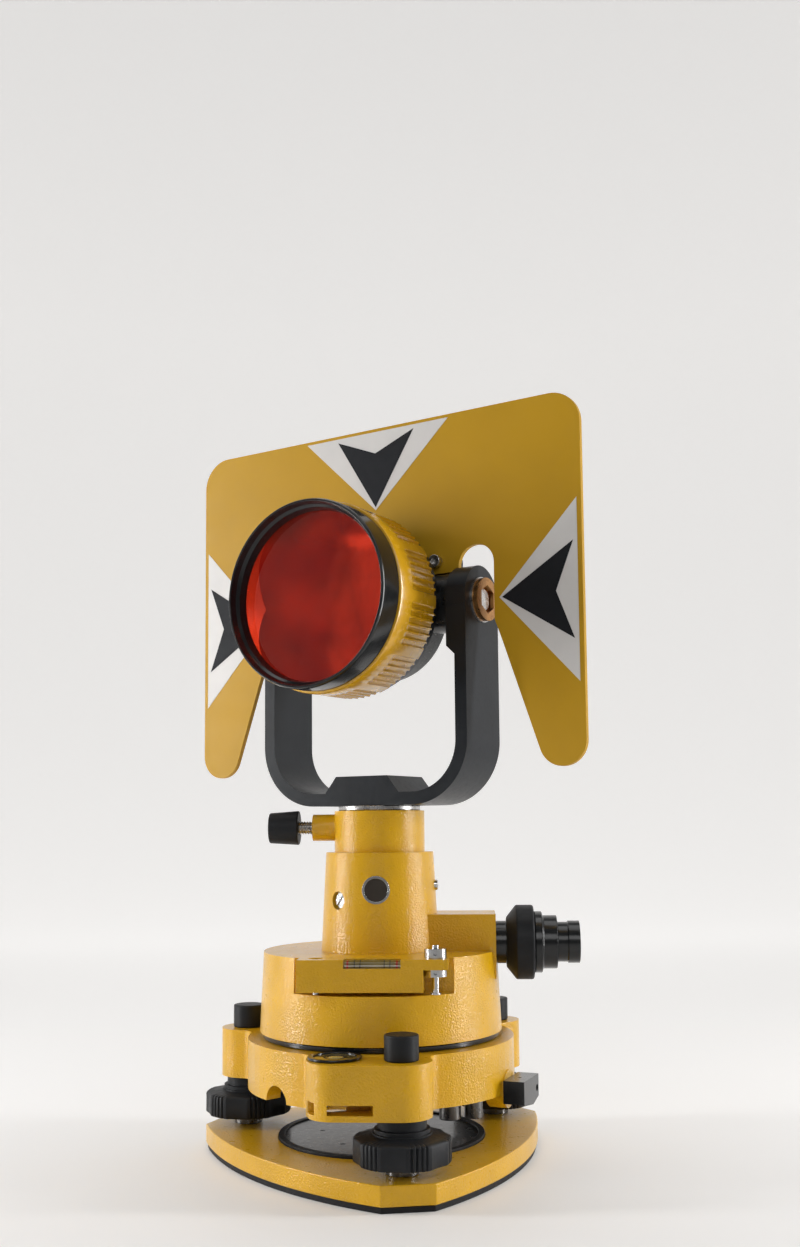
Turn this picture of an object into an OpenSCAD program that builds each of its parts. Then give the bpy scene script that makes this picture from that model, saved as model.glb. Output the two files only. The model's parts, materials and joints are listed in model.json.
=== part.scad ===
// Tilting survey prism on a rotatable optical-plummet carrier and a three-screw tribrach.
// Millimetres, +Z up. The origin is the mouth of the tripod thread, at the middle of the foot.
// The prism looks along -Y; the tribrach and the carrier are each turned about Z to their rest places.

/* [Base plate] */
// Distance from the centre to each cut-off corner
corner_reach = 70.2; // [69.5:0.1:71]
// Distance from the centre to the middle of each bulging side
side_reach = 54.3; // [53:0.1:56]
// Radius of the bulging sides
side_r = 145; // [135:1:160]
// Thickness of the black foot rim
pad_h = 2.2; // [1.5:0.1:2.4]
// Height of the top of the base plate
base_top = 9; // [8.8:0.1:9.2]
// Outer radius of the black disc ring
disc_r = 38.4; // [37.5:0.1:39]
// Radius of the tripod thread's wall
thread_r = 6.8; // [6.7:0.05:6.95]

/* [Tribrach] */
// Turn of the tribrach about Z from the prism's facing direction
tribrach_yaw = 40; // [30:1:50]
// Distance of the foot screws from the centre
screw_circle_r = 56.5; // [56:0.1:57]
// Underside of the tribrach body
body_bottom = 27.5; // [27:0.1:28]
// Top of the tribrach body
body_top = 45.5; // [45.3:0.1:45.6]
// Radius of the round part of the tribrach body
body_r = 49.7; // [49.2:0.1:50]
// Radius of the lobes around the foot screws
lobe_r = 10.3; // [9.8:0.1:10.8]
// Radius of the foot screw knobs
knob_r = 16.4; // [16:0.1:16.6]

/* [Carrier] */
// Turn of the carrier about Z from the prism's facing direction
carrier_yaw = 29; // [20:1:40]
// Underside of the carrier drum
drum_bottom = 47.8; // [47.7:0.1:48]
// Top of the carrier drum
drum_top = 77; // [76.5:0.1:77.2]
// Radius of the drum at its underside
drum_r = 45.3; // [45:0.1:45.6]
// Radius of the drum at its top
drum_top_r = 43.9; // [43.6:0.1:44.2]
// Height of the plummet's sight line
sight_z = 79.4; // [79.2:0.1:79.6]
// Height of the release button
button_z = 100; // [98:0.5:102]
// Top of the tapered tower
tower_top = 113.5; // [113.3:0.1:113.5]
// Top of the clamp collar
collar_top = 129; // [128.5:0.1:129.1]

/* [Prism head] */
// Height of the tilt axis
pivot_z = 206; // [205.5:0.1:206.5]
// Half of the yoke's outer width
yoke_half_w = 45.7; // [45.5:0.1:46]
// Depth of the yoke, front to back
yoke_depth = 25; // [24:0.5:26]
// Depth of the yoke's underside below the tilt axis
yoke_drop = 75.1; // [75:0.1:75.3]
// Radius of the prism glass
glass_r = 32; // [31.8:0.1:32]
// Distance from the tilt axis forward to the glass face
glass_front = 41.9; // [41.8:0.1:42]
// Distance from the tilt axis forward to the bezel's rim
bezel_front = 49; // [48:0.5:50]
// Half of the target plate's width
plate_half_w = 86.8; // [86.2:0.1:87.2]
// Height of the target plate's top edge above the tilt axis
plate_up = 72.6; // [72.3:0.1:74]
// Depth of the target plate's lower ends below the tilt axis
plate_down = 62.4; // [62:0.1:63]

/* [Hidden] */
$fn = 96;
eps = 0.01;
// Radial gap of a running fit
run = 0.05;
// Radial gap of a fixed fit
seat = 0.02;

// --- base values
bush_r = 9.4;
disc_inset = 0.8;
disc_screw_circle_r = 22.5;
// Turn of the disc screws from the front foot screw
disc_screw_turn = 14.6;
foot_end_r = 4.5;
clip_r = 6.5;
clip_h = 0.8;
knob_bottom = 13;
knob_flats = 6;
// Turn of the first flat from the radius through the foot screw
knob_turn = -18;
knob_scoop_r = 30;

// --- tribrach values
foot_bush_r = 5.3;
shaft_pin_r = 3;
lock_swing = 12;
screw_r = 3.5;
sleeve_r = 8.2;
sleeve_top = 29.5;
cap_r = 5.85;
cap_top = 54.1;
web_bottom = 40.5;
cavity_r = 43.5;
pin_circle_r = 31;
pin_r = 5;
lock_turn = 60;
lock_z = 28.7;
// Length of the lock's lever along its shaft
lever_l = 7.8;
lock_plate_z = 34.8;
lock_plate_h = 3.6;
post_bottom = 13.5;
bubble_x = -21.7;
bubble_y = -49.4;
bubble_r = 8.5;
// Underside of the web that the bubble's screws pull against
bubble_web_z = 36.5;

// --- carrier values
tower_foot_r = 22.3;
tower_top_r = 20.4;
collar_r = 17.15;
shaft_r = 8.5;
shaft_bottom = 86;
pocket_half_w = 28.2;
pocket_floor = 64.7;
pocket_back = -32.6;
vial_front = -43.2;
vial_bottom = 66;
vial_top = 77.2;
stud_x = 21.9;
vial_mid_y = -38.6;
stud_y = -37.2;
vial_tube_z = 74.2;
box_x = 43.5;
box_half_w = 11.5;
box_top = 90.5;
clamp_z = 122.8;
clamp_r = 2.6;
adjust_turn = -43;
side_screw_turn = 84;
button_r = 4.2;
// Tower radius at the height of the button
tower_mid_r = tower_foot_r - (tower_foot_r - tower_top_r) * (button_z - drum_top) / (tower_top - drum_top);

// --- head values
arm_t = 4.8;
arm_head_t = 8.2;
hub_h = 11.1;
trunnion_r = 11;
pin_axle_r = 4;
bush_sleeve_r = 6.2;
cup_r = 26.8;
cup_back = 11;
ring_r = 35.2;
ring_front = -39;
ring_back = -14.5;
plate_t = 2;
ear_x = 27.4;
ear_z = 16.2;
slot_in = 36.8;
slot_out = 51.5;
slot_z = 13.6;
lobe_end_r = 9.2;
// Direction square to a leg's slanted inner edge
leg_nx = 0.944;
leg_nz = 0.327;
mark_x = 85;
mark_top = 71.3;
mark_half = 32.9;
mark_len = 31.3;

module at_tribrach() rotate([0, 0, tribrach_yaw]) children();
module at_carrier() rotate([0, 0, carrier_yaw]) children();
module at_head() translate([0, 0, pivot_z]) children();
// Turned about Z so that the child, drawn towards -Y, points at the given angle
module turned(a) rotate([0, 0, a]) children();
// The place of one foot screw
module at_foot(i) at_tribrach() turned(120 * i) translate([0, -screw_circle_r, 0]) children();
// A ring with its bottom at z
module ring(r, hole, z, h) translate([0, 0, z]) difference() {
    cylinder(r = r, h = h);
    translate([0, 0, -eps]) cylinder(r = hole, h = h + 2 * eps);
}
// A round bar along a radius, drawn towards -Y at height z
module radial(r, from, to, z) translate([0, -from, z]) rotate([90, 0, 0]) cylinder(r = r, h = to - from);
// A profile of [radius, y] points turned about the Y axis
module about_y(points) rotate([-90, 0, 0]) rotate_extrude() polygon(points);

// --- base

// Bulging three-sided outline with its corners cut off
module base_outline(trim) intersection() {
    intersection_for(i = [0:2]) rotate(90 + 120 * i)
        translate([side_reach - side_r, 0]) circle(r = side_r - trim, $fn = 240);
    rotate(90) circle(r = 2 * (corner_reach - trim), $fn = 3);
}
module base_plate() color("goldenrod") at_tribrach() difference() {
    translate([0, 0, pad_h]) linear_extrude(base_top - pad_h) base_outline(0);
    translate([0, 0, -eps]) cylinder(r = bush_r + seat, h = base_top + 1);
    translate([0, 0, base_top - disc_inset]) cylinder(r = disc_r + seat, h = 1);
    for (i = [0:2]) turned(120 * i) translate([0, -screw_circle_r, 0]) {
        translate([0, 0, pad_h - eps]) cylinder(r = foot_end_r + run, h = base_top);
        translate([0, 0, pad_h - eps]) cylinder(r = clip_r + seat, h = clip_h + 0.1);
    }
}
module base_pad() color([0.1, 0.1, 0.1]) at_tribrach() difference() {
    linear_extrude(pad_h) base_outline(0.7);
    translate([0, 0, -eps]) cylinder(r = bush_r + seat, h = pad_h + 1);
}
module disc_plate() color([0.16, 0.16, 0.17]) at_tribrach() difference() {
    ring(disc_r - 2.4, thread_r + 0.4, base_top - disc_inset, disc_inset + 0.4);
    for (i = [0:5]) turned(disc_screw_turn + 60 * i)
        translate([0, -disc_screw_circle_r, base_top - 1]) cylinder(r = 0.9 + seat, h = 3);
}
module disc_ring() color([0.05, 0.05, 0.05]) at_tribrach()
    ring(disc_r, disc_r - 2.4 + seat, base_top - disc_inset, disc_inset + 1);
module disc_screws() color("dimgray") at_tribrach()
    for (i = [0:5]) turned(disc_screw_turn + 60 * i)
        translate([0, -disc_screw_circle_r, base_top - disc_inset + 0.05])
            cylinder(r = 0.9, h = disc_inset + 0.2);
module thread_bush() color("silver") ring(bush_r, thread_r, 0, base_top - disc_inset);
module foot_clips() color("silver") for (i = [0:2])
    at_foot(i) translate([0, 0, pad_h + 0.05]) cylinder(r = clip_r, h = clip_h);

// --- foot screws
module foot_screw(i) color("silver") at_foot(i) {
    translate([0, 0, pad_h + clip_h + 0.2]) cylinder(r = foot_end_r, h = 7);
    translate([0, 0, base_top + 0.2]) cylinder(r = 5.4, h = knob_bottom - base_top - 0.25);
    translate([0, 0, base_top]) cylinder(r = screw_r, h = 40.5);
}
module foot_knob(i) color([0.1, 0.1, 0.1]) at_foot(i) difference() {
    union() {
        translate([0, 0, knob_bottom]) cylinder(r = knob_r, h = 8);
        translate([0, 0, knob_bottom + 8]) cylinder(r1 = knob_r, r2 = 10, h = 1);
        translate([0, 0, knob_bottom + 8]) cylinder(r = 10, h = 1.6);
        translate([0, 0, knob_bottom + 9]) cylinder(r = 9.4, h = 1.9);
        translate([0, 0, knob_bottom + 10]) cylinder(r = sleeve_r, h = sleeve_top - knob_bottom - 10);
    }
    translate([0, 0, knob_bottom - 1]) cylinder(r = screw_r + seat, h = 30);
    for (k = [0:knob_flats - 1]) turned(knob_turn + 360 * k / knob_flats)
        translate([0, -knob_r - knob_scoop_r + 0.8, 0]) cylinder(r = knob_scoop_r, h = 40);
}
module foot_caps() color([0.15, 0.15, 0.15]) for (i = [0:2]) at_foot(i) difference() {
    translate([0, 0, body_top]) cylinder(r = cap_r, h = cap_top - body_top);
    translate([0, 0, body_top - eps]) cylinder(r = 4.4, h = cap_top - body_top - 1);
}
module foot_bushes() color("peru") for (i = [0:2]) at_foot(i)
    ring(foot_bush_r, screw_r + run, body_bottom + 5.5, body_top - body_bottom - 5.5);

// --- tribrach
module lobe(x, y, r) translate([x, y]) circle(r = r);
module body_outline() offset(r = -6) offset(r = 6) {
    circle(r = body_r);
    for (i = [0:2]) rotate(120 * i) {
        lobe(0, -screw_circle_r, lobe_r);
        translate([-lobe_r, -screw_circle_r]) square([2 * lobe_r, screw_circle_r]);
    }
    hull() {
        lobe(0, -screw_circle_r, lobe_r);
        lobe(bubble_x, bubble_y, bubble_r + 1.2);
        lobe(bubble_x + 0.2, bubble_y - 3.6, bubble_r + 1);
    }
}
module tribrach_body() color("goldenrod") at_tribrach() difference() {
    union() {
        translate([0, 0, body_bottom]) linear_extrude(body_top - body_bottom) body_outline($fn = 64);
        turned(lock_turn) radial(6.8, 40, body_r + 0.3, lock_z);
    }
    cylinder(r = 19, h = 60);
    cylinder(r = cavity_r, h = web_bottom);
    for (i = [0:2]) turned(120 * i) {
        translate([0, -pin_circle_r, 0]) cylinder(r = pin_r + run, h = 60);
        translate([0, -screw_circle_r, 0]) cylinder(r = foot_bush_r + seat, h = 60);
        translate([0, -screw_circle_r, 0]) cylinder(r = sleeve_r + 0.8, h = body_bottom + 5.5);
    }
    turned(lock_turn) radial(shaft_pin_r + run, 30, 60, lock_z);
    translate([bubble_x, bubble_y, 38]) cylinder(r = bubble_r + seat, h = 10);
    translate([bubble_x, bubble_y, 0]) cylinder(r = 6.5, h = bubble_web_z);
    at_bubble_screws(bubble_web_z - 1) cylinder(r = 1 + seat, h = 3);
    translate([bubble_x - 3.7, -70, body_bottom + 2]) cube([14.8, 15, 3.3]);
    translate([bubble_x - 12, bubble_y - 9, body_bottom + 1.6]) cube([8, 5.5, 4]);
    for (a = [-55, 172]) turned(a) radial(5.7, 40, 60, body_bottom);
}
// Steel ring that turns to trap the carrier's three pins
module locking_plate() color("silver") at_tribrach() difference() {
    ring(42.5, 22, lock_plate_z, lock_plate_h);
    for (i = [0:2]) turned(120 * i) {
        for (a = [0, -lock_swing]) turned(a)
            translate([0, -pin_circle_r, 0]) cylinder(r = pin_r + 0.6, h = 60);
        rotate([0, 0, -90 - lock_swing]) rotate_extrude(angle = lock_swing)
            translate([pin_circle_r - pin_r - 0.6, 0]) square([2 * pin_r + 1.2, 60]);
    }
}
module lock_cover() color("dimgray") at_tribrach() difference() {
    ring(cavity_r - seat, 21, lock_plate_z - 1.4, 1.2);
    for (i = [0:2]) turned(120 * i) translate([0, -pin_circle_r, 0]) cylinder(r = pin_r + 0.6, h = 60);
}
module lock_posts() color("silver") at_tribrach() {
    turned(88) translate([0, -25.8, post_bottom]) cylinder(r = 4.1, h = lock_plate_z - 1.4 - post_bottom);
    turned(90) translate([0, -35, post_bottom]) cylinder(r = 3.5, h = lock_plate_z - 1.4 - post_bottom);
}
module lock_shaft() color("silver") at_tribrach() turned(lock_turn) {
    radial(shaft_pin_r, 33, body_r + lever_l - 1.5, lock_z);
    radial(4.4, 31, 33.2, lock_z);
    translate([0, 0, 2.6]) radial(1.2, 28, 31.2, lock_z);
}
// A short lever with one corner drawn down, a hole in its end and a grub screw's hole on top
module lock_knob() color([0.12, 0.12, 0.12]) at_tribrach() turned(lock_turn) difference() {
    translate([0, 0, lock_z]) rotate([90, 0, 0]) translate([0, 0, body_r + 0.6]) linear_extrude(lever_l)
        polygon([[-8, -3.9], [3, -5.6], [10, -3.7], [10, 4.1], [-8, 4.1]]);
    radial(shaft_pin_r + seat, 40, body_r + lever_l - 1.4, lock_z);
    translate([8, 0, 0]) radial(1.2, body_r + lever_l - 2, 70, lock_z - 0.6);
    translate([0, -body_r - 4.4, lock_z + 3.2]) cylinder(r = 0.6, h = 4);
}
module bubble_case() color([0.08, 0.08, 0.08]) at_tribrach() translate([bubble_x, bubble_y, 0]) difference() {
    union() {
        translate([0, 0, 38]) cylinder(r = bubble_r, h = body_top - 38);
        translate([0, 0, body_top]) cylinder(r = bubble_r + 0.7, h = 1);
    }
    translate([0, 0, 40]) cylinder(r = 7.2 + seat, h = 10);
    translate([-bubble_x, -bubble_y, 0]) at_bubble_screws(37) cylinder(r = 1 + seat, h = 2.1);
}
module bubble_vial() color([0.85, 0.8, 0.5, 0.5]) at_tribrach()
    translate([bubble_x, bubble_y, 40]) cylinder(r = 7.2, h = 6);
// The places of the screws that adjust the bubble, drawn from height z
module at_bubble_screws(z) translate([bubble_x, bubble_y, z])
    for (i = [0:2]) turned(60 + 120 * i) translate([0, -4.2, 0]) children();
module bubble_screws() color("silver") at_tribrach() {
    at_bubble_screws(bubble_web_z - 5.9) cylinder(r = 1.9, h = 1.8);
    at_bubble_screws(bubble_web_z - 5.9) cylinder(r = 1, h = 8.4);
}

// --- carrier
module pin_flange() color([0.12, 0.12, 0.12]) at_tribrach() {
    ring(44.2, 13, body_top + 0.1, drum_bottom - body_top - 0.3);
    ring(20, 13, drum_bottom - 0.4, 8);
}
module flange_pins() color("silver") at_tribrach() for (i = [0:2]) turned(120 * i)
    translate([0, -pin_circle_r, lock_plate_z - 1.2]) difference() {
        cylinder(r = pin_r, h = body_top + 0.1 - lock_plate_z + 1.2);
        translate([0, 0, 1]) ring(pin_r + 1, pin_r - 1.4, 0, lock_plate_h + 1);
    }
module carrier_body() color("goldenrod") at_carrier() difference() {
    union() {
        translate([0, 0, drum_bottom])
            cylinder(r1 = drum_r, r2 = drum_top_r, h = drum_top - drum_bottom, $fn = 180);
        translate([0, 0, drum_top - 1])
            cylinder(r1 = tower_foot_r, r2 = tower_top_r, h = tower_top - drum_top + 1);
        translate([0, -box_half_w, drum_top - 10]) cube([box_x, 2 * box_half_w, box_top - drum_top + 10]);
    }
    translate([0, 0, drum_bottom - eps]) cylinder(r = 20 + run, h = 8);
    translate([0, 0, drum_bottom - eps]) cylinder(r = 12, h = 36);
    translate([0, 0, 80]) cylinder(r = shaft_r + run, h = 40);
    ring(drum_top_r - 13, 24, drum_bottom - eps, 14);
    translate([-pocket_half_w, -60, pocket_floor]) cube([2 * pocket_half_w, 60 + pocket_back, 20]);
    turned(90) radial(7 + seat, 0, 60, sight_z);
    turned(90) radial(7.9 + seat, box_x - 2, 60, sight_z);
    radial(button_r + run, 9, 30, button_z);
    radial(5.1 + seat, tower_mid_r - 2.2, 30, button_z);
    turned(adjust_turn) radial(3.3, 17, 30, button_z - 4);
    turned(adjust_turn) radial(2 + seat, 12, 30, button_z - 4);
    turned(side_screw_turn) radial(2 + seat, 12, 30, button_z + 1);
}
module vial_housing() color("goldenrod") at_carrier() difference() {
    union() {
        translate([2 - pocket_half_w, vial_front, vial_bottom]) cube([44, 9.2, vial_top - vial_bottom]);
        translate([17, vial_front, vial_top - 3.6]) cube([9.4, 9.2, 3.6]);
    }
    translate([-16, vial_mid_y, vial_tube_z]) rotate([0, 90, 0]) cylinder(r = 2.6 + seat, h = 32);
    translate([-10, vial_front - 1, vial_top - 3.1]) cube([20, 6, 6]);
    translate([stud_x, stud_y, 60]) cylinder(r = 1.5, h = 30);
    translate([-20, stud_y, 60]) cylinder(r = 1.5, h = 30);
    translate([-20, stud_y, vial_top - 2]) cylinder(r = 2.7, h = 30);
}
module vial_tube() color([0.85, 0.8, 0.5, 0.5]) at_carrier()
    translate([-16 + eps, vial_mid_y, vial_tube_z]) rotate([0, 90, 0]) cylinder(r = 2.6, h = 31.9);
module vial_studs() color("silver") at_carrier() {
    translate([-20, stud_y, vial_top - 1.9]) cylinder(r = 2.5, h = 1.2);
    translate([-20, stud_y, pocket_floor + seat]) cylinder(r = 1.2, h = vial_top - pocket_floor - 1);
    translate([stud_x, stud_y, pocket_floor + seat]) cylinder(r = 1.2, h = vial_top - pocket_floor + 4.5);
    translate([stud_x, stud_y, pocket_floor + seat]) cylinder(r = 1.8, h = 0.6);
}
module capstan_nut(z, h) difference() {
    translate([0, 0, z]) cylinder(r = 4, h = h);
    translate([0, 0, z - 1]) cylinder(r = 1.2 + seat, h = h + 2);
    for (i = [0:1]) turned(90 * i) translate([0, 5, z + h / 2]) rotate([90, 0, 0]) cylinder(r = 0.6, h = 3);
    for (i = [0:1]) turned(90 * i) translate([0, -2, z + h / 2]) rotate([90, 0, 0]) cylinder(r = 0.6, h = 3);
}
module capstan_nuts() color("silver") at_carrier() translate([stud_x, stud_y, 0]) {
    capstan_nut(vial_top + 0.05, 3.3);
    capstan_nut(vial_top - 3.65 - 2.6, 2.6);
}

// --- plummet
module eyepiece_profile(points) at_carrier() translate([0, 0, sight_z]) rotate([0, 90, 0])
    rotate_extrude() polygon(points);
module plummet_tube() color([0.1, 0.1, 0.1])
    eyepiece_profile([[5.5, 20], [7, 20], [7, box_x - 2], [7.9, box_x - 2], [7.9, 47.3], [7, 47.3],
        [7, 60], [5.5, 60]]);
module focus_ring() color([0.12, 0.12, 0.12])
    eyepiece_profile([[7 + run, 47.5], [9.2, 47.5], [13.8, 51.2], [13.8, 57.3], [13.2, 57.8],
        [7 + run, 57.8]]);
module eyepiece_barrel() color([0.14, 0.14, 0.15])
    eyepiece_profile([[7 + seat, 58], [11.4, 58], [11.4, 60.8], [9.9, 61.2], [9.9, 66.4], [6, 66.4],
        [6, 60.1], [7 + seat, 60.1]]);
module diopter_ring() color([0.14, 0.14, 0.15])
    eyepiece_profile([[5, 61.5], [5.95, 61.5], [5.95, 66.6], [7.4, 66.6], [7.4, 70.3], [7.85, 70.5],
        [7.85, 74.8], [5.2, 74.8], [5.2, 73], [5, 73]]);
module eyepiece_lens() color([0.6, 0.7, 0.8, 0.4])
    eyepiece_profile([[0, 73.05], [5.15, 73.05], [5.15, 74.3], [0, 74.6]]);
module plummet_prism() color([0.7, 0.8, 0.85, 0.4]) at_carrier() difference() {
    translate([-6, -6, sight_z - 6]) cube([12, 12, 12]);
    translate([0, 0, sight_z]) rotate([0, -45, 0]) translate([-20, -20, 0]) cube([40, 40, 20]);
}
module objective_lens() color([0.6, 0.7, 0.8, 0.4]) at_carrier()
    translate([0, 0, 60]) cylinder(r = 11.9, h = 3);

// --- release button and tower screws
module release_button() color([0.25, 0.22, 0.2]) at_carrier() difference() {
    radial(button_r, 14, tower_mid_r + 0.3, button_z);
    radial(3.2, 13, 19.2, button_z);
}
module button_ring() color("silver") at_carrier() difference() {
    radial(5.1, tower_mid_r - 2, tower_mid_r + 0.4, button_z);
    radial(button_r + run, tower_mid_r - 4, tower_mid_r + 2, button_z);
}
module button_spring() color("silver") at_carrier() difference() {
    radial(2.9, 10.6, 17, button_z);
    radial(2.2, 10, 18, button_z);
}
module tower_screws() color("silver") at_carrier() {
    turned(adjust_turn) radial(2, 12.2, 18, button_z - 4);
    turned(adjust_turn) radial(3, 18, 20, button_z - 4);
    turned(side_screw_turn) radial(2, 12.2, tower_mid_r + 0.9, button_z + 1);
}

// --- clamp collar
module collar() color("goldenrod") at_carrier() difference() {
    union() {
        translate([0, 0, tower_top]) cylinder(r = collar_r, h = collar_top - tower_top);
        turned(-90) radial(5.05, 12, 25.4, clamp_z);
    }
    cylinder(r = shaft_r + run, h = 200);
    turned(-90) radial(clamp_r + run, 5, 30, clamp_z);
}
module clamp_pad() color("peru") at_carrier() turned(-90) radial(2.5, shaft_r + 0.6, 10.4, clamp_z);
module clamp_screw() color("silver") at_carrier() turned(-90) radial(clamp_r, 10.5, 38, clamp_z);
module clamp_knob() color([0.12, 0.12, 0.12]) at_carrier() turned(-90) difference() {
    translate([0, -30.8, clamp_z]) rotate([90, 0, 0]) cylinder(r1 = 6.5, r2 = 5.75, h = 11.4);
    radial(clamp_r + seat, 30, 38.1, clamp_z);
}

// --- spindle and yoke
module spindle() color("silver") {
    translate([0, 0, shaft_bottom]) cylinder(r = shaft_r, h = collar_top - shaft_bottom + 1);
    translate([0, 0, collar_top + 0.1]) cylinder(r = 15.6, h = pivot_z - yoke_drop - collar_top - 0.1);
    translate([0, 0, collar_top]) cylinder(r = 5, h = 9.5);
}
// Points of an arc about [x, z]
function arc(x, z, r, from, to, n = 24) =
    [for (i = [0:n]) let (a = from + (to - from) * i / n) [x + r * cos(a), z + r * sin(a)]];
// Half of a U with a rounded corner, t inside the yoke's outline
function half_u(t, corner, top) = concat([[0, t - yoke_drop]],
    arc(yoke_half_w - t - corner, t - yoke_drop + corner, corner, -90, 0), [[yoke_half_w - t, top]]);
function mirrored(points) = [for (i = [len(points) - 1:-1:0]) [-points[i][0], points[i][1]]];
module yoke_outline() {
    outer = half_u(0, 23.5, 20);
    inner = half_u(arm_t, 18.7, -21);
    head_inner = [[yoke_half_w - arm_head_t, -17.8], [yoke_half_w - arm_head_t, 20]];
    hub = [[11.5, hub_h - yoke_drop], [16.5, arm_t - yoke_drop]];
    right_inner = concat(hub, [for (i = [1:len(inner) - 1]) inner[i]], head_inner);
    polygon(concat([for (i = [len(right_inner) - 1:-1:0]) right_inner[i]],
        [for (q = right_inner) [-q[0], q[1]]], mirrored(outer), outer));
}
module yoke() color([0.18, 0.2, 0.21]) at_head() difference() {
    intersection() {
        rotate([90, 0, 0]) linear_extrude(yoke_depth, center = true) yoke_outline();
        rotate([0, 90, 0]) linear_extrude(200, center = true) union() {
            circle(r = yoke_depth / 2 + 0.3);
            translate([3, -yoke_depth]) square([100, 2 * yoke_depth]);
        }
    }
    rotate([0, 90, 0]) cylinder(r = bush_sleeve_r + seat, h = 200, center = true);
    translate([0, 0, -yoke_drop - 1]) cylinder(r = 5 + seat, h = 9);
}

// --- pivots
module both_sides() for (s = [0, 1]) mirror([s, 0, 0]) children();
module pivot_bushes() color("peru") at_head() both_sides() difference() {
    union() {
        translate([yoke_half_w - arm_head_t, 0, 0]) rotate([0, 90, 0])
            cylinder(r = bush_sleeve_r, h = arm_head_t + 1);
        translate([yoke_half_w + 0.6, 0, 0]) rotate([0, 90, 0]) cylinder(r = 8, h = 2);
    }
    rotate([0, 90, 0]) cylinder(r = pin_axle_r + run, h = 47);
    translate([46, 0, 0]) rotate([0, 90, 0]) cylinder(r = 5.4, h = 5, $fn = 6);
}
module pivot_washers() color("gray") at_head() both_sides()
    translate([yoke_half_w, 0, 0]) rotate([0, 90, 0]) ring(8.4, bush_sleeve_r + seat, 0, 0.6);
module trunnion_pins() color("silver") at_head() both_sides()
    translate([28, 0, 0]) rotate([0, 90, 0]) cylinder(r = pin_axle_r, h = 18.6);

// --- prism and its holder
module prism_holder() color([0.08, 0.08, 0.08]) at_head() difference() {
    union() {
        about_y([[0, ring_back], [33.5, ring_back], [33.5, -11], [29, -8.5], [cup_r, -6],
            [cup_r, cup_back - 3], [cup_r - 3, cup_back], [0, cup_back]]);
        both_sides() {
            translate([20, 0, 0]) rotate([0, 90, 0])
                cylinder(r = trunnion_r, h = yoke_half_w - arm_head_t - 0.3 - 20);
            translate([ear_x, plate_t / 2 + 7, ear_z]) rotate([90, 0, 0]) cylinder(r = 6.2, h = 7);
        }
    }
    about_y([[0, 7], [2.5, 5], [27, -13], [27, -20], [0, -20]]);
    both_sides() {
        translate([28, 0, 0]) rotate([0, 90, 0]) cylinder(r = pin_axle_r + seat, h = 20);
        translate([ear_x, 6, ear_z]) rotate([90, 0, 0]) cylinder(r = 1.5 + seat, h = 10);
    }
}
module prism_canister() color("goldenrod") at_head()
    about_y([[32.5, ring_back], [ring_r - 0.6, ring_back], [ring_r, ring_back - 1], [ring_r, ring_front + 1],
        [ring_r - 0.6, ring_front], [32.5, ring_front]]);
module front_bezel() color([0.07, 0.07, 0.07]) at_head()
    about_y([[34.4, ring_front], [34.4, 1 - bezel_front], [33.9, -bezel_front], [33.2, -bezel_front],
        [32.6, 2.5 - bezel_front], [31.6, 3.5 - bezel_front], [31, -glass_front - 0.3],
        [32.1, -glass_front - 0.3], [32.1, ring_front + 4], [32.45, ring_front + 4], [32.45, ring_front]]);
// A corner cut from a cube and turned so that its three faces meet on the Y axis behind the round face
module prism_glass() color([0.8, 0.15, 0.08, 0.6]) at_head() intersection() {
    translate([0, 10, 0]) rotate([90, 0, 0]) cylinder(r = glass_r, h = glass_front + 10);
    translate([0, glass_r * sqrt(2) - glass_front, 0]) rotate([90, 0, 0]) cube_corner(200);
}
// The corner of a cube that stands on its point, opening along +Z
module cube_corner(a) rotate([0, -acos(1 / sqrt(3)), 0]) rotate([0, 0, -45]) cube(a);
module prism_pad() color([0.05, 0.05, 0.05]) at_head()
    about_y([[28.5, ring_back], [32.4, ring_back], [32.4, -16.8], [29, -16.8]]);

// --- target plate
module plate_leg() {
    translate([plate_half_w - lobe_end_r, lobe_end_r - plate_down]) circle(r = lobe_end_r);
    polygon([[slot_out, 0], [slot_out, -8], [slot_out + 2.3, -13.8],
        [plate_half_w - lobe_end_r * (1 + leg_nx), lobe_end_r * (1 - leg_nz) - plate_down],
        [plate_half_w - lobe_end_r, lobe_end_r - plate_down], [plate_half_w, lobe_end_r - plate_down],
        [plate_half_w, 0]]);
}
module plate_outline() difference() {
    union() {
        for (s = [-1, 1]) translate([s * (plate_half_w - 12), plate_up - 12]) circle(r = 12);
        translate([12 - plate_half_w, 0]) square([2 * plate_half_w - 24, plate_up]);
        translate([-plate_half_w, -1]) square([2 * plate_half_w, plate_up - 11]);
        for (s = [0, 1]) mirror([s, 0]) plate_leg();
    }
    circle(r = cup_r + 0.6);
    for (s = [-1, 1]) {
        translate([s * (slot_in + slot_out) / 2, slot_z]) circle(r = (slot_out - slot_in) / 2);
        translate([s * ear_x, ear_z]) circle(r = 1.6);
        polygon([[0, trunnion_r + 0.6], [s * slot_in, trunnion_r + 0.6], [s * slot_in, slot_z],
            [s * slot_out, slot_z], [s * slot_out, -2], [0, -2]]);
    }
}
module target_plate() color("goldenrod") at_head()
    rotate([90, 0, 0]) linear_extrude(plate_t, center = true) plate_outline();
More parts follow.
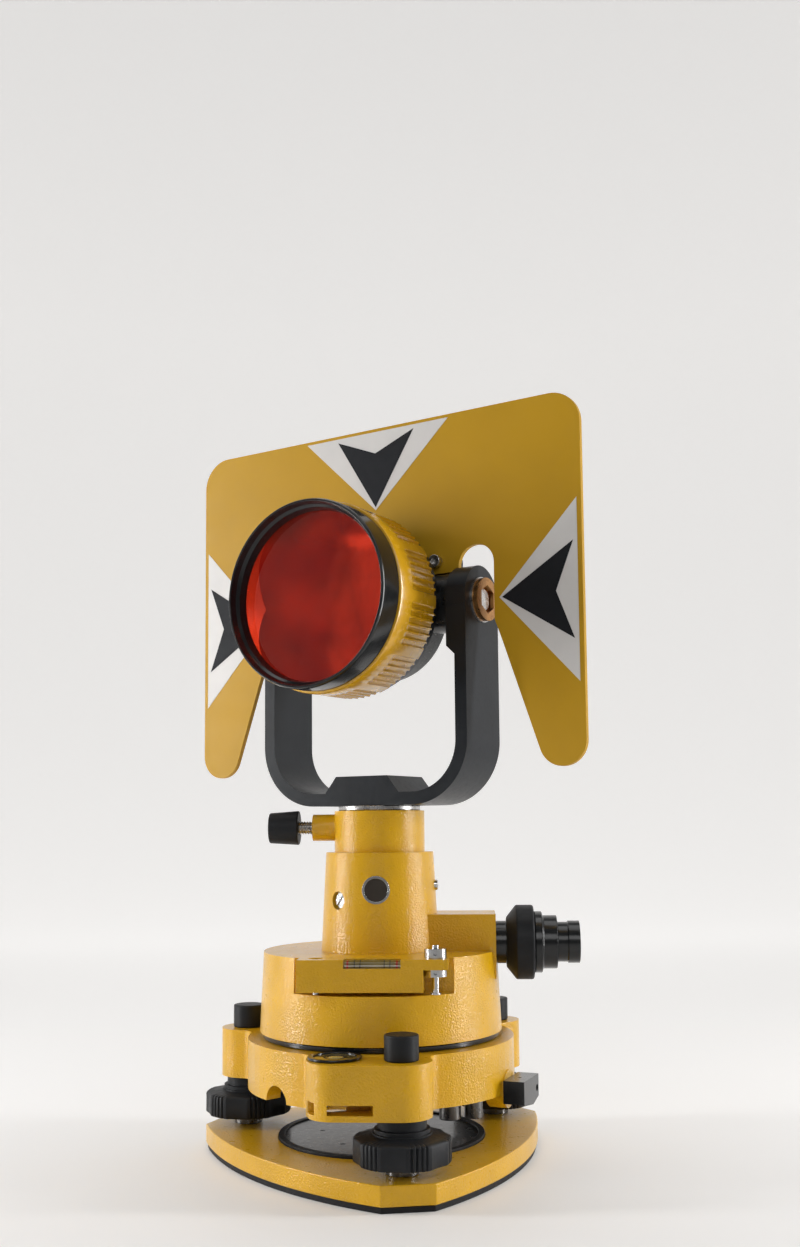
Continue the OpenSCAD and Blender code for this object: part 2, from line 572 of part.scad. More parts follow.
// One triangle of the pattern, its tip towards the middle
module mark_triangle() polygon([[0, -mark_len], [mark_half, 0], [-mark_half, 0]]);
module mark_arrow() polygon([[0, 1.2 - mark_len], [17.6, -1.6], [0, -8.6], [-17.6, -1.6]]);
module mark_places() {
    translate([0, mark_top]) children();
    for (s = [-1, 1]) translate([s * mark_x, 0]) rotate(-90 * s) children();
}
module mark_layer(from, t) translate([0, -plate_t / 2 - from, 0]) rotate([90, 0, 0])
    linear_extrude(t) mark_places() children();
module target_marks() color("white") at_head() mark_layer(0, 0.12) mark_triangle();
module target_arrows() color([0.1, 0.1, 0.1]) at_head() mark_layer(0.12, 0.12) mark_arrow();
module plate_screw() {
    translate([0, 0, plate_t / 2]) difference() {
        cylinder(r = 2.45, h = 2.6);
        translate([0, 0, 1]) cylinder(r = 1.3, h = 3, $fn = 6);
    }
    translate([0, 0, -5.5]) cylinder(r = 1.5, h = 7);
}
module plate_screws() color("silver") at_head() both_sides()
    translate([ear_x, 0, ear_z]) rotate([90, 0, 0]) plate_screw();

base_plate();
base_pad();
disc_plate();
disc_ring();
disc_screws();
thread_bush();
foot_clips();
foot_screw(0);  // foot_screw_front
foot_screw(2);  // foot_screw_left
foot_screw(1);  // foot_screw_right
foot_knob(0);  // foot_knob_front
foot_knob(2);  // foot_knob_left
foot_knob(1);  // foot_knob_right
foot_caps();
foot_bushes();
tribrach_body();
locking_plate();
lock_cover();
lock_posts();
lock_shaft();
lock_knob();
bubble_case();
bubble_vial();
bubble_screws();
pin_flange();
flange_pins();
carrier_body();
vial_housing();
vial_tube();
vial_studs();
capstan_nuts();
plummet_tube();
focus_ring();
eyepiece_barrel();
diopter_ring();
eyepiece_lens();
plummet_prism();
objective_lens();
release_button();
button_ring();
button_spring();
tower_screws();
collar();
clamp_pad();
clamp_screw();
clamp_knob();
spindle();
yoke();
pivot_bushes();
pivot_washers();
trunnion_pins();
prism_holder();
prism_canister();
front_bezel();
prism_glass();
prism_pad();
target_plate();
target_marks();
target_arrows();
plate_screws();
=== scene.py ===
"""Looks of the survey prism on its carrier and tribrach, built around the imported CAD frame."""

import json
import math

import bmesh
import bpy
from mathutils import Matrix, Vector


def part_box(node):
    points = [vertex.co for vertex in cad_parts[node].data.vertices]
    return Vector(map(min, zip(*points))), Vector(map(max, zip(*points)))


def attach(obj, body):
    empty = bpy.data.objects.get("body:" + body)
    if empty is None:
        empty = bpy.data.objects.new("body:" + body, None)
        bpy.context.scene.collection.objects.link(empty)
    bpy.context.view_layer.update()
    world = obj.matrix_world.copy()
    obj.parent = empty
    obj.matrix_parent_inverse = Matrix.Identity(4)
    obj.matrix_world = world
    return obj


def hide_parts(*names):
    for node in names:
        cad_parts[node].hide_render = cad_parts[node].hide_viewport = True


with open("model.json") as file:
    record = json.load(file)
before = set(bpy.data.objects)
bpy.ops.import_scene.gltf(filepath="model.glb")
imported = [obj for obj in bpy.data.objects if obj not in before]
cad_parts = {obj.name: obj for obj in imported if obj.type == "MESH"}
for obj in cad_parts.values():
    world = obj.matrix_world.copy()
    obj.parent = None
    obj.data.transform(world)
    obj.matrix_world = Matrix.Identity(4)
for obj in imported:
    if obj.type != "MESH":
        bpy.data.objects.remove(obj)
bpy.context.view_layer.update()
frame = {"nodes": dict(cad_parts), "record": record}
record = frame["record"]
MM = 0.001
TAU = 2 * math.pi

BODY_OF = {n: b for b, nodes in record["behaviour"]["bodies"].items() for n in nodes}
SLOT_OF = {s["node"]: s["material_slot"] for s in record["subparts"]}
JOINTS = {j["name"]: j for j in record["behaviour"]["joints"]}
PIVOT = Vector(JOINTS["head_tilt"]["pos_m"])
CLAMP_AXIS = Vector(JOINTS["clamp_push"]["axis"])
CLAMP_HEIGHT = JOINTS["clamp_turn"]["pos_m"][2]
BUTTON_AXIS = Vector(JOINTS["button_push"]["axis"])
# The carrier's own frame: its -Y lies along the axis of the button's joint.
CARRIER = Matrix.Rotation(math.atan2(BUTTON_AXIS.x, -BUTTON_AXIS.y), 4, "Z")

# ---------------------------------------------------------------- camera and light

CAMERA_AT = Vector((0.2682, -0.4103, 0.1225))
CAMERA_TURN = math.radians(32.213)
CAMERA_PITCH = math.radians(95.424)
CAMERA_ROLL = math.radians(-0.513)
SENSOR_MM = 36
LENS_MM = 36.88
LENS_SHIFT = 0.0666
NEAR_CLIP = 0.01

# name: place as seen() takes it, height of the point it faces, width, height (metres), watts
LIGHTS = {
    "softbox_left": ((-0.62, -0.05, 0.2), 0.13, 0.07, 0.5, 2.9),
    "softbox_right": ((0.62, -0.07, 0.22), 0.13, 0.07, 0.5, 2.8),
    "softbox_top": ((0.0, 0.0, 1.1), 0.1, 0.7, 0.6, 2.2),
    "fill_front": ((-0.15, -1.2, 0.7), 0.12, 0.7, 0.5, 2.6),
}
WORLD_COLOUR = (1.0, 0.995, 0.985, 1)
WORLD_STRENGTH = 0.25


def make_camera():
    data = bpy.data.cameras.new("camera")
    data.sensor_width = SENSOR_MM
    data.lens = LENS_MM
    data.shift_y = LENS_SHIFT
    data.clip_start = NEAR_CLIP
    camera = bpy.data.objects.new("camera", data)
    bpy.context.scene.collection.objects.link(camera)
    turn = Matrix.Rotation(CAMERA_TURN, 4, "Z") @ Matrix.Rotation(CAMERA_PITCH, 4, "X")
    camera.matrix_world = Matrix.Translation(CAMERA_AT) @ turn @ Matrix.Rotation(CAMERA_ROLL, 4, "Z")
    bpy.context.scene.camera = camera


def seen(right, away, up):
    """A point given from the foot of the object's axis as the camera sees it, in metres."""
    c, s = math.cos(CAMERA_TURN), math.sin(CAMERA_TURN)
    return Vector((right * c - away * s, right * s + away * c, up))


def area_light(name, at, aim, width, height, watts):
    data = bpy.data.lights.new(name, "AREA")
    data.shape = "RECTANGLE"
    data.size, data.size_y = width, height
    data.energy = watts
    light = bpy.data.objects.new(name, data)
    bpy.context.scene.collection.objects.link(light)
    light.location = at
    light.rotation_euler = (aim - at).to_track_quat("-Z", "Y").to_euler()


def make_lights():
    for name, (place, aim_height, width, height, watts) in LIGHTS.items():
        area_light(name, seen(*place), Vector((0, 0, aim_height)), width, height, watts)
    world = bpy.data.worlds.new("studio")
    bpy.context.scene.world = world
    world.use_nodes = True
    background = world.node_tree.nodes["Background"]
    background.inputs["Color"].default_value = WORLD_COLOUR
    background.inputs["Strength"].default_value = WORLD_STRENGTH


make_camera()
make_lights()
bpy.context.scene.view_settings.view_transform = "Standard"

# ---------------------------------------------------------------- materials
# Noise scales are per metre and bump depths are in metres.


class Shader:
    """A Principled material and the few node groups that its details are made from."""

    def __init__(self, name, colour, roughness, metallic=0.0):
        self.material = bpy.data.materials.new(name)
        self.material.use_nodes = True
        self.tree = self.material.node_tree
        self.principled = self.tree.nodes["Principled BSDF"]
        self.colour = colour
        self.set("Base Color", (*colour, 1))
        self.set("Roughness", roughness)
        self.set("Metallic", metallic)
        self.bump_out = None
        self.place = self.node("ShaderNodeTexCoord").outputs["Object"]

    def node(self, kind, **values):
        made = self.tree.nodes.new(kind)
        for key, value in values.items():
            setattr(made, key, value)
        return made

    def link(self, a, b):
        self.tree.links.new(a, b)

    def set(self, socket, value):
        self.principled.inputs[socket].default_value = value

    def noise(self, scale, detail=2.0, rough=0.5, stretch=(1, 1, 1)):
        mapping = self.node("ShaderNodeMapping")
        mapping.inputs["Scale"].default_value = stretch
        self.link(self.place, mapping.inputs["Vector"])
        noise = self.node("ShaderNodeTexNoise")
        noise.inputs["Scale"].default_value = scale
        noise.inputs["Detail"].default_value = detail
        noise.inputs["Roughness"].default_value = rough
        self.link(mapping.outputs["Vector"], noise.inputs["Vector"])
        return noise.outputs["Fac"]

    def ramp(self, value, stops):
        """A value turned into a colour, by two stops of (position, colour)."""
        ramp = self.node("ShaderNodeValToRGB")
        for element, (position, colour) in zip(ramp.color_ramp.elements, stops):
            element.position = position
            element.color = (*colour, 1)
        self.link(value, ramp.inputs["Fac"])
        return ramp.outputs["Color"]

    def spread(self, value, from_min, from_max, to_min=0.0, to_max=1.0):
        """A value's range stretched onto another, and held at its ends."""
        spread = self.node("ShaderNodeMapRange")
        spread.inputs["From Min"].default_value = from_min
        spread.inputs["From Max"].default_value = from_max
        spread.inputs["To Min"].default_value = to_min
        spread.inputs["To Max"].default_value = to_max
        self.link(value, spread.inputs["Value"])
        return spread.outputs["Result"]

    def mottle(self, scale, share):
        """Slow colour variation: share is how far it goes either way from the base colour."""
        dark = tuple(c * (1 - share) for c in self.colour)
        light = tuple(min(1, c * (1 + share)) for c in self.colour)
        colour = self.ramp(self.noise(scale, detail=3.0), [(0.32, dark), (0.68, light)])
        self.link(colour, self.principled.inputs["Base Color"])
        return self

    def uneven_gloss(self, scale, low, high):
        noise = self.noise(scale, detail=4.0, rough=0.6)
        self.link(self.spread(noise, 0.3, 0.7, low, high), self.principled.inputs["Roughness"])
        return self

    def bump(self, height, depth, strength):
        bump = self.node("ShaderNodeBump")
        bump.inputs["Distance"].default_value = depth
        bump.inputs["Strength"].default_value = strength
        self.link(height, bump.inputs["Height"])
        if self.bump_out:
            self.link(self.bump_out, bump.inputs["Normal"])
        self.bump_out = bump.outputs["Normal"]
        self.link(self.bump_out, self.principled.inputs["Normal"])
        self.link(self.bump_out, self.principled.inputs["Coat Normal"])
        return self


def make_cast():
    """Thick gloss paint over a casting: a pebble under a millimetre across, on a fainter, slower one."""
    s = Shader("yellow_cast", (0.69, 0.375, 0.004), 0.34)
    s.set("Specular IOR Level", 0.25)
    s.set("Coat Weight", 0.5)
    s.set("Coat Roughness", 0.08)
    s.mottle(scale=60, share=0.06).uneven_gloss(scale=300, low=0.26, high=0.38)
    s.bump(s.noise(1500, detail=1.0), depth=0.00026, strength=0.85)
    return s.bump(s.noise(380), depth=0.0003, strength=0.08)


def make_plate():
    """Satin paint on sheet metal."""
    s = Shader("yellow_plate", (0.5, 0.28, 0.012), 0.46)
    s.set("Specular IOR Level", 0.22)
    s.mottle(scale=22, share=0.06).uneven_gloss(scale=120, low=0.38, high=0.48)
    return s.bump(s.noise(3200), depth=0.00003, strength=0.5)


def make_ring():
    """Smooth gloss paint on a turned ring."""
    s = Shader("yellow_ring", (0.66, 0.35, 0.007), 0.24)
    s.set("Coat Weight", 0.5)
    s.set("Coat Roughness", 0.08)
    s.mottle(scale=50, share=0.06).uneven_gloss(scale=260, low=0.18, high=0.3)
    return s.bump(s.noise(900), depth=0.00006, strength=0.4)


def make_black(name, colour, rough, grain, depth, coat=0.0):
    """Black paint, plastic or anodising with a fine grain."""
    s = Shader(name, colour, rough)
    s.set("Specular IOR Level", 0.26)
    s.set("Coat Weight", coat)
    s.set("Coat Roughness", 0.12)
    s.mottle(scale=90, share=0.16).uneven_gloss(scale=500, low=rough * 0.85, high=min(1, rough * 1.15))
    return s.bump(s.noise(grain), depth, strength=0.5)


def make_metal(name, colour, rough):
    """Turned metal: fine lines round the upright axis and a few darker smears."""
    s = Shader(name, colour, rough, metallic=1.0)
    s.mottle(scale=140, share=0.08).uneven_gloss(scale=500, low=rough * 0.75, high=rough * 1.3)
    return s.bump(s.noise(900, rough=0.6, stretch=(1, 1, 14)), depth=0.00003, strength=0.35)


def make_mirror():
    """The coat behind the corner cube: red metal that also glows weakly, as the cube renders too dark."""
    s = make_metal("red_mirror", (0.85, 0.45, 0.36), 0.03)
    glow = s.ramp(s.noise(38), [(0.36, (0.3, 0.012, 0.008)), (0.66, (1.0, 0.11, 0.05))])
    s.link(glow, s.principled.inputs["Emission Color"])
    s.set("Emission Strength", 0.1)
    return s


def make_clear(name, colour, rough, tint_scale):
    """Clear or tinted glass."""
    s = Shader(name, colour, rough)
    s.set("Transmission Weight", 1.0)
    s.set("IOR", 1.52)
    s.mottle(tint_scale, share=0.04)
    return s.bump(s.noise(300, detail=1.0), depth=0.00001, strength=0.2)


def make_vial(name, colour):
    """Spirit-filled glass and the marks on it, under one clear gloss."""
    s = Shader(name, colour, 0.12)
    s.set("Coat Weight", 1.0)
    s.set("Coat Roughness", 0.03)
    s.mottle(scale=160, share=0.2)
    return s.bump(s.noise(500, detail=1.0), depth=0.00001, strength=0.2)


def make_mark():
    """Flat black print, for the arrows and the reading lines."""
    s = Shader("mark_black", (0.008, 0.009, 0.012), 0.55)
    s.set("Specular IOR Level", 0.2)
    s.mottle(scale=80, share=0.15).uneven_gloss(scale=400, low=0.5, high=0.62)
    return s.bump(s.noise(2600), depth=0.00002, strength=0.4)


def make_white():
    """Flat white print under the arrows."""
    s = Shader("white_paint", (0.66, 0.645, 0.63), 0.5)
    s.mottle(scale=60, share=0.04).uneven_gloss(scale=300, low=0.4, high=0.52)
    return s.bump(s.noise(2600), depth=0.00002, strength=0.4)


MATERIALS = {
    "yellow_cast": make_cast(),
    "yellow_plate": make_plate(),
    "yellow_ring": make_ring(),
    "black_paint": make_black("black_paint", (0.009, 0.011, 0.014), 0.33, 1400, 0.00004),
    "black_cup": make_black("black_cup", (0.008, 0.009, 0.010), 0.3, 1100, 0.00004, 0.3),
    "black_knob": make_black("black_knob", (0.010, 0.011, 0.013), 0.48, 2200, 0.00005),
    "black_rubber": make_black("black_rubber", (0.008, 0.008, 0.009), 0.55, 1800, 0.00006),
    "black_disc": make_black("black_disc", (0.018, 0.019, 0.021), 0.3, 600, 0.00003, 0.2),
    "black_anodised": make_black("black_anodised", (0.008, 0.009, 0.010), 0.22, 1600, 0.00003, 0.4),
    "steel": make_metal("steel", (0.55, 0.54, 0.53), 0.28),
    # dark_steel goes on the foot screws, lock posts and foot clips: steel painted darker, as painted shade in
    # the gap under the tribrach body
    "dark_steel": make_metal("dark_steel", (0.16, 0.155, 0.15), 0.3),
    "chrome": make_metal("chrome", (0.6, 0.6, 0.6), 0.12),
    "bronze": make_metal("bronze", (0.4, 0.2, 0.07), 0.3),
    "button": make_black("button", (0.045, 0.037, 0.03), 0.34, 1500, 0.00004),
    "clear_glass": make_clear("clear_glass", (0.95, 0.97, 0.98), 0.02, 30),
    "red_glass": make_clear("red_glass", (1.0, 0.3, 0.15), 0.01, 20),
    "red_mirror": make_mirror(),
    "vial_glass": make_vial("vial_glass", (0.16, 0.12, 0.035)),
    "vial_bubble": make_vial("vial_bubble", (0.36, 0.3, 0.12)),
    "line_red": make_vial("line_red", (0.3, 0.02, 0.012)),
    "white_paint": make_white(),
    "mark_black": make_mark(),
}
FEET = ("front", "left", "right")
# Parts in the gap under the tribrach body, given dark_steel as painted shade
STEEL_IN_PAINTED_SHADE = ("lock_posts", "foot_clips", *("foot_screw_" + side for side in FEET))
LOOK_OF = {**SLOT_OF, **dict.fromkeys(STEEL_IN_PAINTED_SHADE, "dark_steel"), "lock_knob": "black_anodised"}

# ---------------------------------------------------------------- pieces
# Sizes inside the piece functions are in millimetres, angles between faces in degrees, WELD in metres.

WELD = 2e-6
FLAT_ANGLE = 0.4
BEVEL_ANGLE = 28
BEVEL_SEGMENTS = 3

# node: radius that its edges are rounded to, in millimetres
ROUNDED = {
    "base_plate": 1.0,
    "base_pad": 0.4,
    "disc_plate": 0.1,
    "disc_ring": 0.3,
    "thread_bush": 0.3,
    "foot_caps": 0.5,
    "tribrach_body": 1.0,
    "lock_posts": 0.3,
    "lock_knob": 0.8,
    "bubble_case": 0.3,
    "pin_flange": 0.4,
    "flange_pins": 0.4,
    "carrier_body": 0.9,
    "vial_housing": 0.5,
    "capstan_nuts": 0.15,
    "eyepiece_barrel": 0.3,
    "diopter_ring": 0.25,
    "focus_ring": 0.4,
    "release_button": 0.15,
    "button_ring": 0.1,
    "collar": 0.5,
    "clamp_knob": 0.5,
    "spindle": 0.3,
    "yoke": 1.3,
    "pivot_bushes": 0.25,
    "prism_holder": 0.6,
    "front_bezel": 0.25,
    "target_plate": 0.35,
    "plate_screws": 0.2,
}

built = set()


def finish_piece(name, bm, body, slot, nodes=(), smooth=32, look=None):
    """Turns a bmesh into a shaded piece that rides on a body and stands for CAD nodes."""
    sharp = math.radians(smooth)
    bmesh.ops.recalc_face_normals(bm, faces=bm.faces)
    for face in bm.faces:
        face.smooth = True
    for edge in bm.edges:
        edge.smooth = edge.is_manifold and edge.calc_face_angle(0) < sharp
    mesh = bpy.data.meshes.new(name)
    bm.to_mesh(mesh)
    bm.free()
    piece = bpy.data.objects.new(name, mesh)
    bpy.context.scene.collection.objects.link(piece)
    mesh.materials.append(MATERIALS[look or slot].material)
    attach(piece, body)
    if nodes:
        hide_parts(*nodes)
        built.update(nodes)
    return piece


def joined_copy(node):
    """A copy of a CAD node's mesh with its points welded and its flat faces joined up."""
    bm = bmesh.new()
    bm.from_mesh(frame["nodes"][node].data)
    bmesh.ops.remove_doubles(bm, verts=bm.verts, dist=WELD)
    limit = math.radians(FLAT_ANGLE)
    bmesh.ops.dissolve_limit(bm, angle_limit=limit, verts=bm.verts, edges=bm.edges)
    return bm


def refined(node):
    """A CAD node with its flat faces joined up, and its edges rounded if ROUNDED lists it."""
    bm = joined_copy(node)
    piece = finish_piece(node + "_look", bm, BODY_OF[node], SLOT_OF[node], [node], look=LOOK_OF[node])
    if node in ROUNDED:
        rounding = piece.modifiers.new("rounding", "BEVEL")
        rounding.width = ROUNDED[node] * MM
        rounding.segments = BEVEL_SEGMENTS
        rounding.limit_method = "ANGLE"
        rounding.angle_limit = math.radians(BEVEL_ANGLE)
        rounding.use_clamp_overlap = True
        rounding.harden_normals = False
        normals = piece.modifiers.new("normals", "WEIGHTED_NORMAL")
        normals.keep_sharp = True


def along(origin, direction):
    """A place whose local Z runs along a direction."""
    return Matrix.Translation(origin) @ Vector(direction).to_track_quat("Z", "Y").to_matrix().to_4x4()


def join_rings(bm, low, high):
    """A band of faces between two rings of as many points."""
    for k in range(len(low)):
        m = (k + 1) % len(low)
        bm.faces.new((low[k], low[m], high[m], high[k]))


def add_lathe(bm, place, stations, steps, cut=None, bore=False):
    """Stations of (height, radius, share of the cut), turned about the local Z of a place."""
    rings = []
    for height, radius, share in stations:
        ring = []
        for k in range(steps):
            turn = TAU * k / steps
            r = radius - (share * cut(turn, height) if share else 0)
            ring.append(bm.verts.new(place @ (Vector((r * math.cos(turn), r * math.sin(turn), height)) * MM)))
        rings.append(ring)
    pairs = list(zip(rings, rings[1:]))
    if bore:
        pairs.append((rings[-1], rings[0]))
    else:
        bm.faces.new(rings[0])
        bm.faces.new(rings[-1])
    for low, high in pairs:
        join_rings(bm, low, high)


def add_hoop(bm, place, low, high, inner, outer):
    """A thin ring of rectangular section about the local Z of a place."""
    section = [(low, inner, 0), (low, outer, 0), (high, outer, 0), (high, inner, 0)]
    add_lathe(bm, place, section, steps=64, bore=True)


def add_prism(bm, place, outline, low, high):
    """A flat outline, drawn out along the local Z of a place."""
    ends = [[bm.verts.new(place @ (Vector((x, y, z)) * MM)) for x, y in outline] for z in (low, high)]
    for end in ends:
        bm.faces.new(end)
    join_rings(bm, *ends)


def add_slotted_screw(bm, place, shank_r, head_r, shoulder, top, turn):
    """A round-headed screw with a driver slot across its head."""
    low, slot_half, slot_depth, edge, arc_steps = 12.2, 0.45, 0.9, 0.25, 20
    floor = top - slot_depth
    shaft = [(low, shank_r, 0), (shoulder, shank_r, 0), (shoulder, head_r, 0), (floor, head_r, 0)]
    add_lathe(bm, place, shaft, steps=48)
    start = math.asin(slot_half / head_r)
    step = (math.pi - 2 * start) / arc_steps
    for side in (0, math.pi):
        angles = [side + turn + start + step * k for k in range(arc_steps + 1)]
        for r, z0, z1 in ((head_r, floor, top - edge), (head_r - edge, top - edge, top)):
            add_prism(bm, place, [(r * math.cos(a), r * math.sin(a)) for a in angles], z0, z1)


def smooth_step(x):
    x = min(1.0, max(0.0, x))
    return x * x * (3 - 2 * x)


def make_canister():
    """The yellow ring: eleven groups of six finger grooves behind a smooth front band."""
    groups, grooves, steps_per_group = 11, 6, 80
    radius, rim, bore = 35.2, 34.5, 32.5
    back, band, front = 14.5, 31.4, 39.0
    groove_depth, groove_width = 0.75, 2.7
    land, slope = 0.25, 0.5
    pitch = groove_width / radius

    def groove(turn, _height):
        place = turn % (TAU / groups)
        if place > grooves * pitch:
            return 0
        return groove_depth * smooth_step((math.sin(math.pi * (place / pitch % 1)) - land) / slope)

    stations = [(back, bore, 0), (back, rim, 0.6), (back + 0.3, 34.95, 0.9), (back + 0.8, radius, 1)]
    stations += [(band - 2.0, radius, 1), (band - 1.4, radius, 0.85), (band - 0.9, radius, 0.5)]
    stations += [(band - 0.4, radius, 0.15), (band, radius, 0)]
    stations += [(front - 0.8, radius, 0), (front - 0.3, 35.0, 0), (front, rim, 0), (front, bore, 0)]
    forward = along(PIVOT, (0, -1, 0))
    bm = bmesh.new()
    add_lathe(bm, forward, stations, steps=groups * steps_per_group, cut=groove, bore=True)
    finish_piece("canister_ring", bm, "head", "yellow_ring", ["prism_canister"])


def make_foot_knobs():
    """Round knobs with six shallow thumb flats and five ribs between each two flats."""
    knob_r, scoop_r, scoop_depth, bore, sleeve_r = 16.4, 30.0, 0.8, 3.52, 8.2
    reach = knob_r + scoop_r - scoop_depth
    flat_step, half_flat, knob_turn = 60, 14.46, -18
    ribs, rib_depth, rib_share = 5, 0.6, 0.3
    rib = (flat_step - 2 * half_flat) / ribs

    def cut(turn, _height):
        off = (math.degrees(turn) + flat_step / 2) % flat_step - flat_step / 2
        if abs(off) < half_flat:
            a = math.radians(off)
            return knob_r - reach * math.cos(a) + math.sqrt(scoop_r ** 2 - (reach * math.sin(a)) ** 2)
        count = (abs(off) - half_flat) / rib
        if round(count) not in (1, 2):
            return 0
        return rib_depth * smooth_step(1 - abs(count - round(count)) / rib_share)

    stations = [(13, bore, 0), (13, 15.6, 1), (13.2, 16.1, 1), (13.7, knob_r, 1), (20.2, knob_r, 1)]
    stations += [(20.7, 16.25, 1), (21.05, 15.8, 1), (21.4, 13.6, 0.3), (21.9, 10.4, 0), (22, 10, 0)]
    stations += [(22.5, 10, 0), (22.6, 9.9, 0), (22.6, 9.4, 0), (23.8, 9.4, 0), (23.9, 9.3, 0)]
    stations += [(23.9, sleeve_r, 0), (29.2, sleeve_r, 0), (29.5, 7.9, 0), (29.5, bore, 0)]
    for side in FEET:
        x, y, _z = JOINTS["foot_turn_" + side]["pos_m"]
        turn = Matrix.Rotation(math.atan2(y, x) + math.radians(knob_turn), 4, "Z")
        bm = bmesh.new()
        add_lathe(bm, Matrix.Translation((x, y, 0)) @ turn, stations, steps=720, cut=cut, bore=True)
        node = "foot_knob_" + side
        finish_piece(node + "_look", bm, "foot_" + side, "black_knob", [node], smooth=40)


def make_clamp_screw():
    """The clamp's screw, its thread cut as a true helix."""
    screw_r, chamfer, thread_depth, pitch, rings_per_turn = 2.6, 0.3, 0.6, 1.0, 6
    low, thread_low, thread_high, high, run_out = 10.5, 22.0, 31.2, 38, 0.1

    def thread(turn, height):
        return thread_depth * abs((height / pitch - turn / TAU) % 1 * 2 - 1)

    rings = int((thread_high - thread_low) / pitch * rings_per_turn)
    stations = [(low, screw_r - chamfer, 0), (low + chamfer, screw_r, 0), (thread_low - run_out, screw_r, 0)]
    stations += [(thread_low + k * pitch / rings_per_turn, screw_r, 1) for k in range(rings)]
    stations += [(thread_high + run_out, screw_r, 0), (high, screw_r, 0)]
    bm = bmesh.new()
    add_lathe(bm, along((0, 0, CLAMP_HEIGHT), CLAMP_AXIS), stations, steps=60, cut=thread)
    finish_piece("clamp_thread", bm, "clamp", "steel", ["clamp_screw"], smooth=60)


def make_tower_screws():
    """The slotted adjusting screw in its deep hole, and the side screw."""
    button_r, shoulder = 4.2, 18
    button_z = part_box("release_button")[0][2] / MM + button_r
    # degrees round from the button, drop below it, shank radius, head radius, top of the head, slot's turn
    screws = (
        (-43, 4, 2, 3, 20, 0.9),
        (84, -1, 2, 2, 22.2, 0.3),
    )
    bm = bmesh.new()
    for turn, drop, shank_r, head_r, top, slot in screws:
        axis = CARRIER @ Matrix.Rotation(math.radians(turn), 4, "Z") @ Vector((0, -1, 0))
        place = along((0, 0, (button_z - drop) * MM), axis)
        add_slotted_screw(bm, place, shank_r, head_r, shoulder, top, slot)
    finish_piece("tower_screws_look", bm, "carrier", "chrome", ["tower_screws"])


def make_plate_level():
    """Reading lines and the bubble of the plate level."""
    centre = CARRIER @ Matrix.Translation(Vector((0, -38.6, 74.2)) * MM)
    across = centre @ Matrix.Rotation(math.pi / 2, 4, "Y")
    inner, outer = 2.58, 2.615
    # name, look, places along the tube, half the width of a line
    lines = (
        ("vial_lines", "mark_black", (-6.2, -4.2, 4.2, 6.2), 0.14),
        ("vial_red_lines", "line_red", (-8.6, 8.6), 0.35),
    )
    for name, look, spots, half in lines:
        bm = bmesh.new()
        for x in spots:
            add_hoop(bm, across, x - half, x + half, inner, outer)
        finish_piece(name, bm, "carrier", "vial_glass", look=look)

    half_length, bubble_r, tip, quarter = 4.0, 0.9, 0.0004, 16
    stations = []
    for k in range(-quarter, quarter + 1):
        x = half_length * math.sin(math.pi / 2 * k / quarter)
        stations.append((x, bubble_r * math.sqrt(max(tip, 1 - (x / half_length) ** 2)), 0))
    bm = bmesh.new()
    add_lathe(bm, across @ Matrix.Translation(Vector((-1.75, -0.2, 0)) * MM), stations, steps=32)
    finish_piece("vial_bubble", bm, "carrier", "vial_glass", look="vial_bubble")


def make_round_level():
    """The ring and the bubble of the circular level."""
    low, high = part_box("bubble_vial")
    top = Matrix.Translation(((low[0] + high[0]) / 2, (low[1] + high[1]) / 2, high[2]))
    bm = bmesh.new()
    add_hoop(bm, top, -0.1, 0.05, 3.3, 3.75)
    finish_piece("bubble_circle", bm, "tribrach", "vial_glass", look="mark_black")
    dome = [(-0.2, 2.6, 0), (0.0, 2.6, 0), (0.18, 2.3, 0), (0.3, 1.6, 0), (0.35, 0.5, 0)]
    bm = bmesh.new()
    add_lathe(bm, top @ Matrix.Translation(Vector((0.4, 0.3, 0)) * MM), dome, steps=48)
    finish_piece("bubble_spot", bm, "tribrach", "vial_glass", look="vial_bubble")


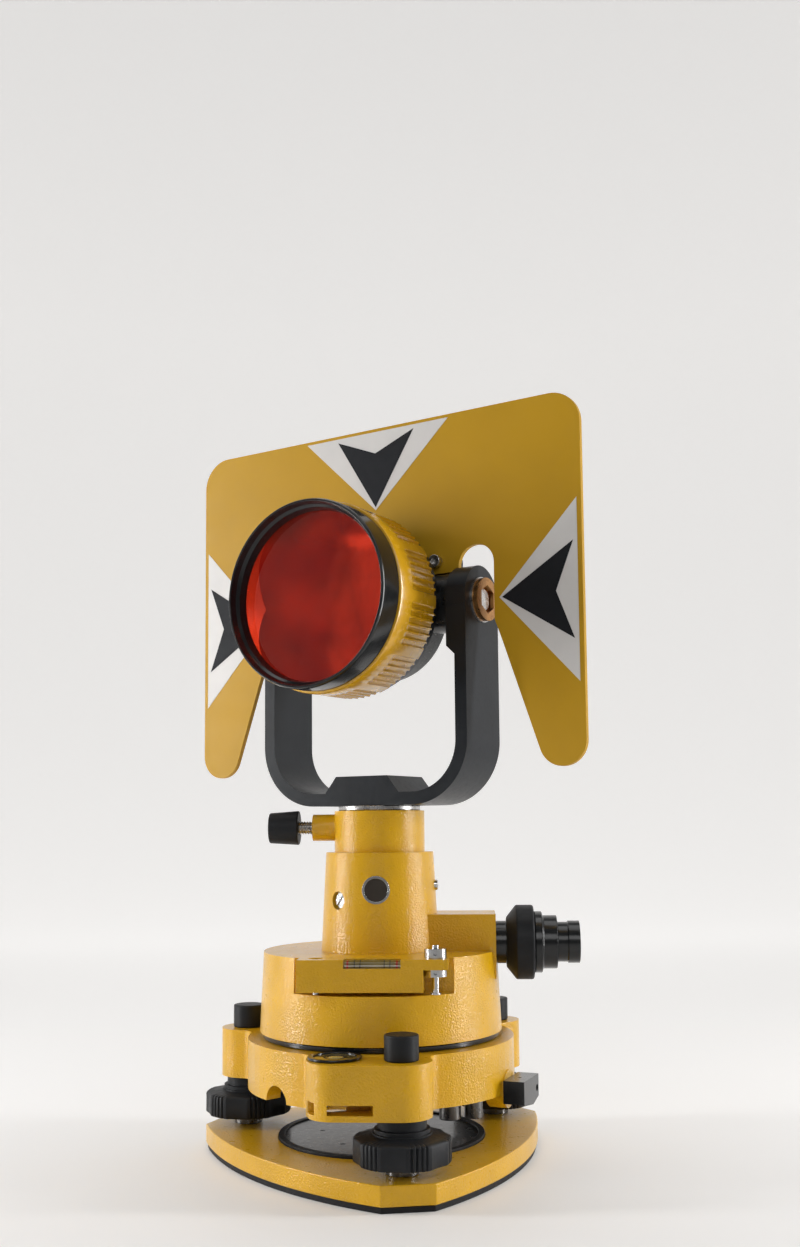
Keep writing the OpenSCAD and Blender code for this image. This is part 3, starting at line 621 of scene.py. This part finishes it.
def make_glass():
    """The corner cube: clear front and rim, with the red coat on its three rear faces."""
    rear_facing = 0.4
    bm = joined_copy("prism_glass")
    for face in bm.faces:
        face.material_index = 1 if face.normal.y > rear_facing else 0
    piece = finish_piece("prism_cube", bm, "head", "red_glass", ["prism_glass"])
    piece.data.materials.append(MATERIALS["red_mirror"].material)


make_canister()
make_foot_knobs()
make_clamp_screw()
make_tower_screws()
make_plate_level()
make_round_level()
make_glass()
for name in sorted(frame["nodes"]):
    if name not in built:
        refined(name)

# ---------------------------------------------------------------- stage


def make_paper():
    """Pale paper that glows towards the far side of the table and darkens behind the camera."""
    # Behind the camera the paper is painted this grey, as painted shade
    behind_grey = (0.34, 0.34, 0.34)
    s = Shader("floor_paper", (0.72, 0.71, 0.7), 0.6)
    s.set("Emission Color", (1.0, 0.99, 0.98, 1))
    away = s.node("ShaderNodeVectorMath", operation="DOT_PRODUCT")
    away.inputs[1].default_value = (-math.sin(CAMERA_TURN), math.cos(CAMERA_TURN), 0)
    s.link(s.place, away.inputs[0])
    distance = away.outputs["Value"]
    s.link(s.spread(distance, -0.5, 0.9, to_max=0.44), s.principled.inputs["Emission Strength"])
    shade = s.ramp(s.spread(distance, -1.1, -0.6), [(0.0, behind_grey), (1.0, s.colour)])
    s.link(shade, s.principled.inputs["Base Color"])
    return s.material


def make_floor():
    """A pale round table that sweeps up into a wall all round, with no edge in sight."""
    flat_r, sweep_r, wall_top, sweep_steps, steps = 1.1, 1.2, 3.2, 16, 96
    profile = [(0.6, 0.0), (flat_r, 0.0)]
    for k in range(1, sweep_steps + 1):
        a = k * math.pi / 2 / sweep_steps
        profile.append((flat_r + sweep_r * math.sin(a), sweep_r - sweep_r * math.cos(a)))
    profile.append((flat_r + sweep_r, wall_top))
    turns = [TAU * k / steps for k in range(steps)]
    bm = bmesh.new()
    rings = [[bm.verts.new((r * math.cos(t), r * math.sin(t), z)) for t in turns] for r, z in profile]
    bm.faces.new(rings[0])
    for low, high in zip(rings, rings[1:]):
        join_rings(bm, low, high)
    for face in bm.faces:
        face.smooth = True
    bmesh.ops.recalc_face_normals(bm, faces=bm.faces)
    mesh = bpy.data.meshes.new("floor")
    bm.to_mesh(mesh)
    bm.free()
    floor = bpy.data.objects.new("floor", mesh)
    bpy.context.scene.collection.objects.link(floor)
    mesh.materials.append(make_paper())


make_floor()
